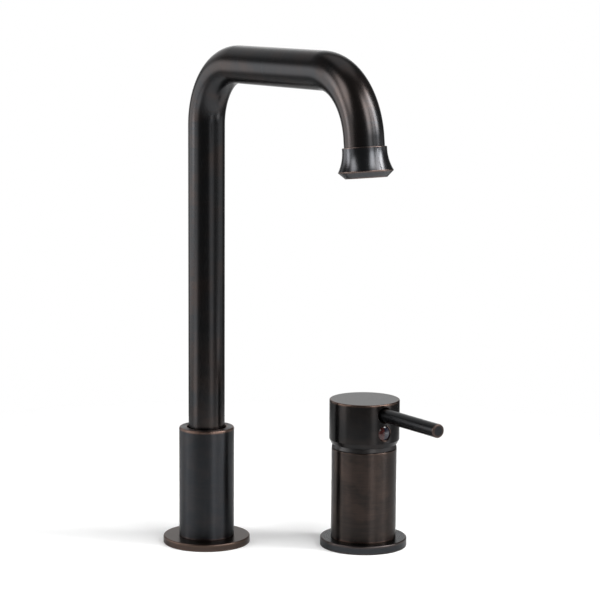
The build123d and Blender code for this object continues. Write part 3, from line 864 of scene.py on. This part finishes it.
# Control body: a turned cup
cup_foot = body_low.z + body_foot
cup_floor = cup_foot + body_floor
cup = lathe(
    "control_cup",
    [
        (0, cup_foot, 0),
        (shank_r + fixed_gap, cup_foot, hidden_edge),
        (shank_r + fixed_gap, body_low.z, hidden_edge),
        (body_r, body_low.z, eased_edge),
        (body_r, body_high.z, body_edge, faint_wear),
        (body_thread_r + fixed_gap, body_high.z, small_edge, unworn),
        (body_thread_r + fixed_gap, cartridge_top, hidden_edge),
        (cartridge_r + fixed_gap, cartridge_top, hidden_edge),
        (cartridge_r + fixed_gap, cup_floor, hidden_edge),
        (0, cup_floor, 0),
    ],
    control_place,
)
settle(cup, control_bronze, "base", "dark_bronze", "control_body")

# Dome ring: its crown is round about the lever's pivot
crown_start = math.asin((cap_low.z - pivot_height) / dome_r)
crown_end = math.acos(dome_bore_r / dome_r)
crown = []
for k in range(crown_steps + 1):
    a = crown_start + (crown_end - crown_start) * k / crown_steps
    rounding = small_edge if k == crown_steps else 0
    crown.append((dome_r * math.cos(a), pivot_height + dome_r * math.sin(a), rounding, unworn))
dome = lathe(
    "dome",
    [
        (dome_bore_r, dome_low.z, hidden_edge),
        (body_thread_r, dome_low.z, hidden_edge),
        (body_thread_r, body_high.z, hidden_edge),
        (dome_foot_r - groove_depth, body_high.z, groove_edge, unworn),
        (dome_foot_r - groove_depth, body_high.z + groove_height, groove_edge),
        (dome_foot_r, body_high.z + groove_height, groove_lip_edge, unworn),
        *crown,
    ],
    control_place,
)
settle(dome, dome_bronze, "base", "dark_bronze", "dome_ring")

# Lever cap: turned, then bored for the lever and for the index plug
cap_outline = [
    (0, cap_high.z, 0),
    (cap_r, cap_high.z, cap_edge, cap_wear_and_sheen),
    (cap_r, cap_low.z + cap_bevel, plain_edge, unworn),
    (cap_lip_r, cap_low.z, inner_edge, unworn),
    (cap_mouth_r, cap_low.z, inner_edge, unworn),
    (cap_mouth_r, cap_low.z + cap_skirt, hidden_edge),
    (cap_cavity_r, cap_low.z + cap_skirt, hidden_edge, unworn),
    (cap_cavity_r, cap_ceiling, hidden_edge),
    (0, cap_ceiling, 0),
]
cap = lathe("cap", cap_outline, control_place, steps=cap_steps)
lever_place = placed_at(control_x, control_y, lever_height) @ facing_front
plug_place = placed_at(control_x, control_y, plug_height) @ facing_front
seat = cap_r - lever_seat_depth
beyond = cap_r + round_overshoot
countersink_slope = (countersink_r - lever_r - fixed_gap) / countersink_depth
countersink_mouth_r = countersink_r + countersink_slope * countersink_past
lever_hole = [
    (0, seat, 0),
    (lever_r + fixed_gap, seat, 0),
    (lever_r + fixed_gap, cap_r - countersink_depth, 0),
    (countersink_mouth_r, cap_r + countersink_past, 0),
    (countersink_mouth_r, beyond, 0),
    (0, beyond, 0),
]
plug_face = cap_r - plug_sunk
plug_back = plug_face - plug_depth
plug_hole = [
    (0, plug_back, 0),
    (plug_r + fixed_gap, plug_back, 0),
    (plug_r + fixed_gap, cap_r - plug_rim, 0),
    (plug_r + plug_rim, cap_r, 0),
    (plug_r + plug_rim, beyond, 0),
    (0, beyond, 0),
]
shape_with(cap, lathe("lever_way", lever_hole, lever_place, around=72), "DIFFERENCE")
shape_with(cap, lathe("plug_way", plug_hole, plug_place, around=72), "DIFFERENCE")
refit(
    cap,
    (rounded(cap_outline, cap_steps), control_place, 1, None),
    (rounded(lever_hole), lever_place, -1, countersink_wear),
    (rounded(plug_hole), plug_place, -1, hole_wear),
)
settle(cap, cap_bronze, "handle", "dark_bronze", "lever_cap")

# Index plug: a glossy button, slightly domed, sunk in its hole
button = lathe(
    "index_button",
    [
        (0, plug_back, 0),
        (plug_r, plug_back, hidden_edge),
        (plug_r, plug_face - button_shoulder, plain_edge),
        *((share * plug_r, plug_face - drop, 0) for share, drop in button_dome),
        (0, plug_face, 0),
    ],
    plug_place,
    around=64,
)
settle(button, index_gloss, "handle", "index_gloss", "index_plug")

# Lever: a round bar with an eased end
lever = lathe(
    "lever",
    [
        (0, seat, 0),
        (lever_r, seat, hidden_edge),
        (lever_r, lever_end, lever_edge, lever_wear),
        (0, lever_end, 0),
    ],
    lever_place,
    around=96,
    steps=6,
)
settle(lever, lever_bronze, "handle", "dark_bronze", "lever_rod")


# Below the worktop: threaded shanks with their waterways, lock nuts and washers


def shank_core(name, place, low, high, ways):
    """A shank without its thread, bored with its waterways, each with a port at its foot."""
    core = lathe(
        name,
        [
            (0, low, 0),
            (shank_r - thread_depth, low, shank_edge),
            (shank_r - thread_depth, 0, small_edge),
            (shank_r, shank_shoulder, small_edge),
            (shank_r, high, foot_edge),
            (0, high, 0),
        ],
        place,
        around=96,
    )
    for way_r, port_r, x, y in ways:
        way = lathe(
            "way",
            [
                (0, low - overshoot, 0),
                (port_r + port_rim, low - overshoot, 0),
                (port_r + port_rim, low, 0),
                (port_r, low + port_rim, 0),
                (port_r, low + port_depth, 0),
                (way_r, low + port_depth + drill_slope * (port_r - way_r), 0),
                (way_r, high + overshoot, 0),
                (0, high + overshoot, 0),
            ],
            place @ placed_at(x, y),
            around=48,
        )
        shape_with(core, way, "DIFFERENCE")
    smooth_by_angle(core)
    return core


def thread_ridge(name, place, radius, low, high):
    """The ridge of an outside thread, wound up from low to high, tapering in and out."""
    root = radius - thread_depth - thread_sunk
    count = int((high - low) / thread_pitch * thread_steps)
    half_foot, half_crest = 0.42 * thread_pitch, 0.07 * thread_pitch
    least_crest = 0.05
    points = []
    for i in range(count + 1):
        a = 2 * math.pi * i / thread_steps
        middle = low + thread_pitch * i / thread_steps
        grown = min(1.0, i / taper_steps, (count - i) / taper_steps)
        crest = root + (radius - root) * max(grown, least_crest)
        c, s = math.cos(a), math.sin(a)
        for r, z in ((root, -half_foot), (crest, -half_crest), (crest, half_crest), (root, half_foot)):
            points.append(place @ Vector((r * c, r * s, middle + z)))
    faces = [(3, 2, 1, 0), tuple(4 * count + k for k in range(4))]
    for i in range(count):
        for k in range(4):
            m = (k + 1) % 4
            faces.append((4 * i + k, 4 * i + m, 4 * i + 4 + m, 4 * i + 4 + k))
    ridge = mesh_piece(name, points, faces)
    smooth_by_angle(ridge, 25)
    return ridge


def lock_nut(name, place, low, high, flats):
    """A hexagon nut with chamfered corners and an eased bore."""
    nut = prism(name, 6, flats, low, high, place)
    face_r = flats / 2 * nut_face_share
    outer_r = flats / 2 / math.cos(math.pi / 6) + nut_form_past
    chamfer = nut_chamfer_slope * (outer_r - face_r)
    form = lathe(
        "nut_form",
        [
            (shank_r + fixed_gap, low + nut_lead_depth, 0),
            (shank_r + nut_lead_width, low, 0),
            (face_r, low, 0),
            (outer_r, low + chamfer, 0),
            (outer_r, high - chamfer, 0),
            (face_r, high, 0),
            (shank_r + nut_lead_width, high, 0),
            (shank_r + fixed_gap, high - nut_lead_depth, 0),
        ],
        place,
        around=96,
    )
    shape_with(nut, form, "INTERSECT")
    smooth_by_angle(nut)
    return nut


# A waterway's radius, its port's radius and its place from the shank's axis
waterways = {
    "spout": [(spout_way_r, spout_port_r, 0.0, 0.0)],
    "control": [
        (control_way_r, hose_port_r, port_ring_r * math.cos(a), port_ring_r * math.sin(a))
        for a in (math.radians(90 + 120 * k) for k in range(3))
    ],
}
# The plain rings: each one's name, look, slot and rounding
rings = (
    ("rubber_washer", rubber, "black_rubber", 0.5 * MM),
    ("steel_washer", steel, "steel", 0.35 * MM),
    ("flange_seal", rubber, "black_rubber", 0.3 * MM),
)
for half, place in halves.items():
    shank_low, shank_high, _ = size_of(f"{half}_shank")
    core = shank_core(f"{half}_stem_core", place, shank_low.z, shank_high.z, waterways[half])
    settle(core, brass, "base", "bare_brass", f"{half}_shank")
    thread_low = shank_low.z + thread_end + thread_pitch / 2
    thread = thread_ridge(f"{half}_thread", place, shank_r, thread_low, -thread_pitch)
    settle(thread, brass, "base", "bare_brass")

    nut_low, nut_high, _ = size_of(f"{half}_lock_nut")
    nut = lock_nut(f"{half}_hex_nut", place, nut_low.z, nut_high.z, nut_high.y - nut_low.y)
    settle(nut, brass, "base", "bare_brass", f"{half}_lock_nut")

    for title, look, slot_name, easing in rings:
        ring_low, ring_high, _ = size_of(f"{half}_{title}")
        ring_r = (ring_high.x - ring_low.x) / 2
        bore_easing = 0.3 * easing
        ring = lathe(
            f"{half}_{title}_ring",
            [
                (shank_r + shank_gap, ring_low.z, bore_easing),
                (ring_r, ring_low.z, easing),
                (ring_r, ring_high.z, easing),
                (shank_r + shank_gap, ring_high.z, bore_easing),
            ],
            place,
            around=96,
        )
        settle(ring, look, "base", slot_name, f"{half}_{title}")

# Stage: a round pale worktop with the two holes that the shanks go through. Its rim fades away, and
# the camera sees it a little lighter than it is, so that it meets the white behind it
table_r = 0.52
table_fade_start = 0.28
table_lightened = 0.15
hole_r = 17.5 * MM
table_middle = Vector((control_x / 2, control_y / 2, -0.05 * MM))


def circle_edges(shape, x, y, radius, sides):
    """Adds a circle at the worktop's height and gives its edges."""
    ring = [
        shape.verts.new((x + radius * math.cos(a), y + radius * math.sin(a), table_middle.z))
        for a in (2 * math.pi * k / sides for k in range(sides))
    ]
    return [shape.edges.new((ring[k], ring[(k + 1) % sides])) for k in range(sides)]


shape = bmesh.new()
edges = circle_edges(shape, table_middle.x, table_middle.y, table_r, 96)
edges += circle_edges(shape, 0, 0, hole_r, 48)
edges += circle_edges(shape, control_x, control_y, hole_r, 48)
bmesh.ops.triangle_fill(shape, use_beauty=True, use_dissolve=False, edges=edges)
bmesh.ops.recalc_face_normals(shape, faces=shape.faces)
table = bpy.data.meshes.new("worktop")
shape.to_mesh(table)
shape.free()
worktop = bpy.data.objects.new("worktop", table)
bpy.context.scene.collection.objects.link(worktop)
pale, tree, shader = material("pale_worktop")
feed(tree, shader.inputs["Base Color"], (0.9, 0.9, 0.9))
feed(tree, shader.inputs["Roughness"], 0.9)
feed(tree, shader.inputs["Specular IOR Level"], 0.0)
span = vector_math(tree, "DISTANCE", object_point(tree), table_middle)
feed(tree, shader.inputs["Alpha"], ramp(tree, span, table_fade_start, table_r, 1.0, 0.0))
seen = tree.nodes.new("ShaderNodeLightPath").outputs["Is Camera Ray"]
feed(tree, shader.inputs["Emission Color"], (1, 1, 1))
feed(tree, shader.inputs["Emission Strength"], math_node(tree, "MULTIPLY", seen, table_lightened))
table.materials.append(pale)

# Camera: where the photograph was taken from. The focal length is in pixels of the photograph
camera_at = Vector((-0.75257, -1.2465, 0.39199))
yaw = math.radians(33.64)
pitch = math.radians(-8.67)
roll = math.radians(0.36)
focal_pixels = 2147.66
photo_width = 600
sensor_width = 36
forward = Vector((math.sin(yaw) * math.cos(pitch), math.cos(yaw) * math.cos(pitch), math.sin(pitch)))
right = Vector((math.cos(yaw), -math.sin(yaw), 0))
over = right.cross(forward)
right_rolled = right * math.cos(roll) + over * math.sin(roll)
over_rolled = over * math.cos(roll) - right * math.sin(roll)
camera = bpy.data.objects.new("camera", bpy.data.cameras.new("camera"))
camera.data.sensor_width = sensor_width
camera.data.lens = focal_pixels / photo_width * sensor_width
camera.data.clip_start = 0.05
camera.data.clip_end = 50
camera.matrix_world = Matrix(
    (
        (right_rolled.x, over_rolled.x, -forward.x, camera_at.x),
        (right_rolled.y, over_rolled.y, -forward.y, camera_at.y),
        (right_rolled.z, over_rolled.z, -forward.z, camera_at.z),
        (0, 0, 0, 1),
    )
)
bpy.context.scene.collection.objects.link(camera)
bpy.context.scene.camera = camera

# Light: soft boxes at both sides, behind and overhead, each even over the middle part of its width
centre = Vector((control_x / 2, control_y / 2, 0.15))
to_camera = math.atan2(camera_at.y - centre.y, camera_at.x - centre.x)
even_share = 0.35
side_distance = 1.25


def soft_box(name, bearing, distance, height, width, tall, radiance):
    """A soft box that faces the object and fades to its edges.

    Its bearing is in degrees from the camera's, growing to the camera's right, and its height is its
    middle's, above the worktop.
    """
    lamp = bpy.data.lights.new(name, "AREA")
    lamp.shape = "RECTANGLE"
    lamp.size = width
    lamp.size_y = tall
    lamp.energy = radiance * math.pi * width * tall
    lamp.use_nodes = True
    tree = lamp.node_tree
    spot = tree.nodes.new("ShaderNodeNewGeometry").outputs["Parametric"]
    parts = parts_of(tree, vector_math(tree, "SUBTRACT", spot, (0.5, 0.5, 0)))
    fades = [
        ramp(tree, math_node(tree, "ABSOLUTE", parts[k]), 0.5 * even_share, 0.5, 1.0, 0.0)
        for k in range(2)
    ]
    feed(tree, tree.nodes["Emission"].inputs["Strength"], math_node(tree, "MULTIPLY", *fades))
    box = bpy.data.objects.new(name, lamp)
    a = to_camera + math.radians(bearing)
    box.location = centre + Vector((math.cos(a) * distance, math.sin(a) * distance, height - centre.z))
    box.rotation_euler = (centre - box.location).to_track_quat("-Z", "Y").to_euler()
    box.visible_camera = False
    bpy.context.scene.collection.objects.link(box)


# Each box's name, bearing, distance, height, width, tallness and radiance
soft_box("left_far_box", -110, side_distance, 0.22, 1.5, 1.0, 1.9)
soft_box("left_near_box", -68, side_distance, 0.30, 0.85, 1.1, 1.1)
soft_box("left_near_high", -62, side_distance, 1.05, 0.80, 1.1, 4.7)
soft_box("left_foot", -76, side_distance, -0.15, 0.80, 0.45, 2.0)
soft_box("left_high_box", -88, side_distance, 0.47, 0.50, 0.95, 5.5)
soft_box("right_near_low", 31.5, side_distance, 0.14, 0.86, 0.65, 0.95)
soft_box("right_near_foot", 32, side_distance, -0.24, 0.50, 0.42, 1.7)
soft_box("right_near_high", 33, side_distance, 0.98, 0.65, 1.5, 7.0)
soft_box("right_far_low", 102, side_distance, 0.14, 1.3, 0.65, 0.85)
soft_box("right_far_foot", 80, side_distance, -0.24, 0.70, 0.42, 2.7)
soft_box("right_mid_high", 57, side_distance, 0.98, 0.45, 1.5, 6.0)
soft_box("right_far_high", 79, side_distance, 0.98, 0.60, 1.5, 15.0)
soft_box("back_box", -160, 1.4, 0.95, 2.4, 1.1, 0.86)
soft_box("over_box", 180, 0.35, 1.5, 1.4, 1.4, 0.78)

# World: white behind the object, also in what metal reflects there, and plain dim walls and ground elsewhere
wall_level = 0.11
ground_level = 0.45
backdrop_start = 0.90
backdrop_full = 0.955
ground_full = -0.5
wall_foot = -0.3
world = bpy.data.worlds.new("studio")
bpy.context.scene.world = world
world.use_nodes = True
tree = world.node_tree
way = tree.nodes.new("ShaderNodeTexCoord").outputs["Generated"]
facing = vector_math(tree, "DOT_PRODUCT", way, (-math.cos(to_camera), -math.sin(to_camera), 0))
backdrop = ramp(tree, facing, backdrop_start, backdrop_full)
ray = tree.nodes.new("ShaderNodeLightPath").outputs
mirrored = math_node(tree, "MAXIMUM", ray["Is Glossy Ray"], ray["Is Transmission Ray"])
behind = math_node(tree, "MULTIPLY", mirrored, backdrop)
white = math_node(tree, "MAXIMUM", ray["Is Camera Ray"], behind)
walls = ramp(tree, parts_of(tree, way)[2], ground_full, wall_foot, ground_level, wall_level)
background = tree.nodes["Background"]
feed(tree, background.inputs["Color"], (1, 1, 1))
feed(tree, background.inputs["Strength"], math_node(tree, "MAXIMUM", white, walls))

bpy.context.scene.view_settings.view_transform = "Standard"
